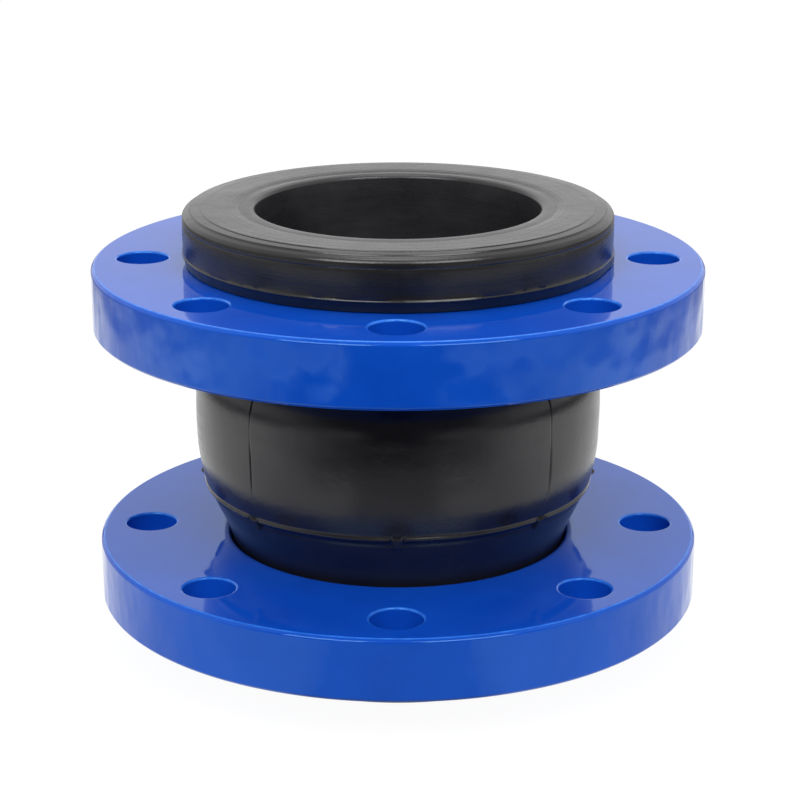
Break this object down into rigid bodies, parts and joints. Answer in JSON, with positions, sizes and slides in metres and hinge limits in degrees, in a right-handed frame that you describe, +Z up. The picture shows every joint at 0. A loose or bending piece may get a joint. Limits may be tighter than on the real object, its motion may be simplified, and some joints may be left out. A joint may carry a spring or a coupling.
{
  "type": "rubber expansion joint",
  "caption": "Flanged rubber expansion joint with a single moulded arch between two loose, blue-painted steel flanges, which lets two pipes move against each other.",
  "frame": {"origin": "centre of the lower sealing face, on the pipe axis, where the joint stands", "axes": "+Z up along the pipe axis towards the upper flange; +X to the right and -Y to the front, with a bolt hole of each flange at the front"},
  "size_m": [0.215, 0.215, 0.1575],
  "materials": {
    "flange_paint": "thick glossy blue paint over steel, with slight orange peel and runs on the rims",
    "cover_rubber": "satin charcoal synthetic rubber, moulded, with a faint grey bloom, mould lines and flash",
    "bead_rubber": "satin charcoal rubber with fine concentric mould rings",
    "tube_rubber": "smooth dark lining rubber",
    "filler_rubber": "hard dull rubber",
    "ply_cord": "rubber-dipped nylon cord fabric",
    "hoop_wire": "bronze-plated hard steel wire"
  },
  "bodies": {
    "lower_end": {"lower_sealing_bead": "bead_rubber", "lower_bead_filler": "filler_rubber", "lower_hoop_1": "hoop_wire", "lower_hoop_2": "hoop_wire", "lower_hoop_3": "hoop_wire", "lower_hoop_4": "hoop_wire", "lower_hoop_5": "hoop_wire", "lower_hoop_6": "hoop_wire", "lower_hoop_7": "hoop_wire", "lower_hoop_8": "hoop_wire", "outer_cover": "cover_rubber", "inner_tube": "tube_rubber"},
    "lower_flange": {"lower_flange": "flange_paint"},
    "stretching_wall": {"cord_ply_1": "ply_cord"},
    "sideways_wall_x": {"cord_ply_2": "ply_cord"},
    "sideways_wall_y": {"cord_ply_3": "ply_cord"},
    "tilting_wall_x": {"cord_ply_4": "ply_cord"},
    "upper_end": {"upper_sealing_bead": "bead_rubber", "upper_bead_filler": "filler_rubber", "upper_hoop_1": "hoop_wire", "upper_hoop_2": "hoop_wire", "upper_hoop_3": "hoop_wire", "upper_hoop_4": "hoop_wire", "upper_hoop_5": "hoop_wire", "upper_hoop_6": "hoop_wire", "upper_hoop_7": "hoop_wire", "upper_hoop_8": "hoop_wire"},
    "upper_flange": {"upper_flange": "flange_paint"}
  },
  "joints": [
    {"name": "axial_stretch", "type": "slide", "parent": "lower_end", "child": "stretching_wall", "axis": [0, 0, 1], "range_m": [-0.018, 0.01], "stiffness_N_per_m": 50000, "deforming": ["outer_cover", "inner_tube", "cord_ply_1", "cord_ply_2", "cord_ply_3", "cord_ply_4"]},
    {"name": "sideways_x", "type": "slide", "parent": "stretching_wall", "child": "sideways_wall_x", "axis": [1, 0, 0], "range_m": [-0.014, 0.014], "stiffness_N_per_m": 70000},
    {"name": "sideways_y", "type": "slide", "parent": "sideways_wall_x", "child": "sideways_wall_y", "axis": [0, 1, 0], "range_m": [-0.014, 0.014], "stiffness_N_per_m": 70000},
    {"name": "tilt_about_x", "type": "hinge", "parent": "sideways_wall_y", "child": "tilting_wall_x", "pos_m": [0, 0, 0.07875], "axis": [1, 0, 0], "range_deg": [-15, 15], "stiffness_Nm_per_rad": 260},
    {"name": "tilt_about_y", "type": "hinge", "parent": "tilting_wall_x", "child": "upper_end", "pos_m": [0, 0, 0.07875], "axis": [0, 1, 0], "range_deg": [-15, 15], "stiffness_Nm_per_rad": 260},
    {"name": "lower_flange_swivel", "type": "hinge", "parent": "lower_end", "child": "lower_flange", "pos_m": [0, 0, 0.07875], "axis": [0, 0, 1], "continuous": true},
    {"name": "upper_flange_swivel", "type": "hinge", "parent": "upper_end", "child": "upper_flange", "pos_m": [0, 0, 0.07875], "axis": [0, 0, 1], "continuous": true}
  ]
}
